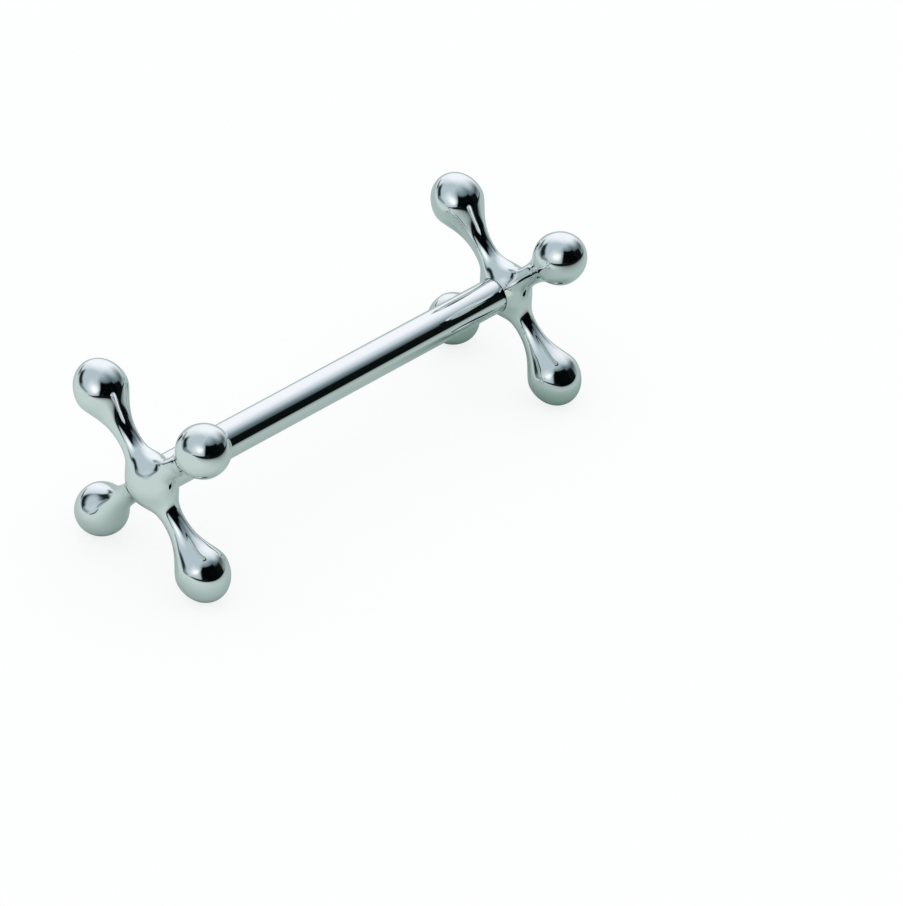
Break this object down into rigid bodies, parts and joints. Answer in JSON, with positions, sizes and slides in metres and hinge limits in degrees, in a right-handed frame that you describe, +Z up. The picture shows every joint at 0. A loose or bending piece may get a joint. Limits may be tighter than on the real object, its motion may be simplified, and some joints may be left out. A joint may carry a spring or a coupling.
{
  "type": "knife rest",
  "caption": "Knife rest: a polished metal bar held between crosses whose necked arms end in round knobs, the lower knobs serving as feet.",
  "frame": {"origin": "on the table, below the middle of the bar", "axes": "+X along the bar, +Z up, +Y across the bar"},
  "size_m": [0.07, 0.0258, 0.0259],
  "materials": {
    "plated_bar": "mirror polished",
    "plated_casting": "mirror polished",
    "stud_steel": "bright machined"
  },
  "bodies": {
    "root": {"bar": "plated_bar", "left_cross": "plated_casting", "right_cross": "plated_casting", "left_stud": "stud_steel", "right_stud": "stud_steel"}
  },
  "joints": []
}
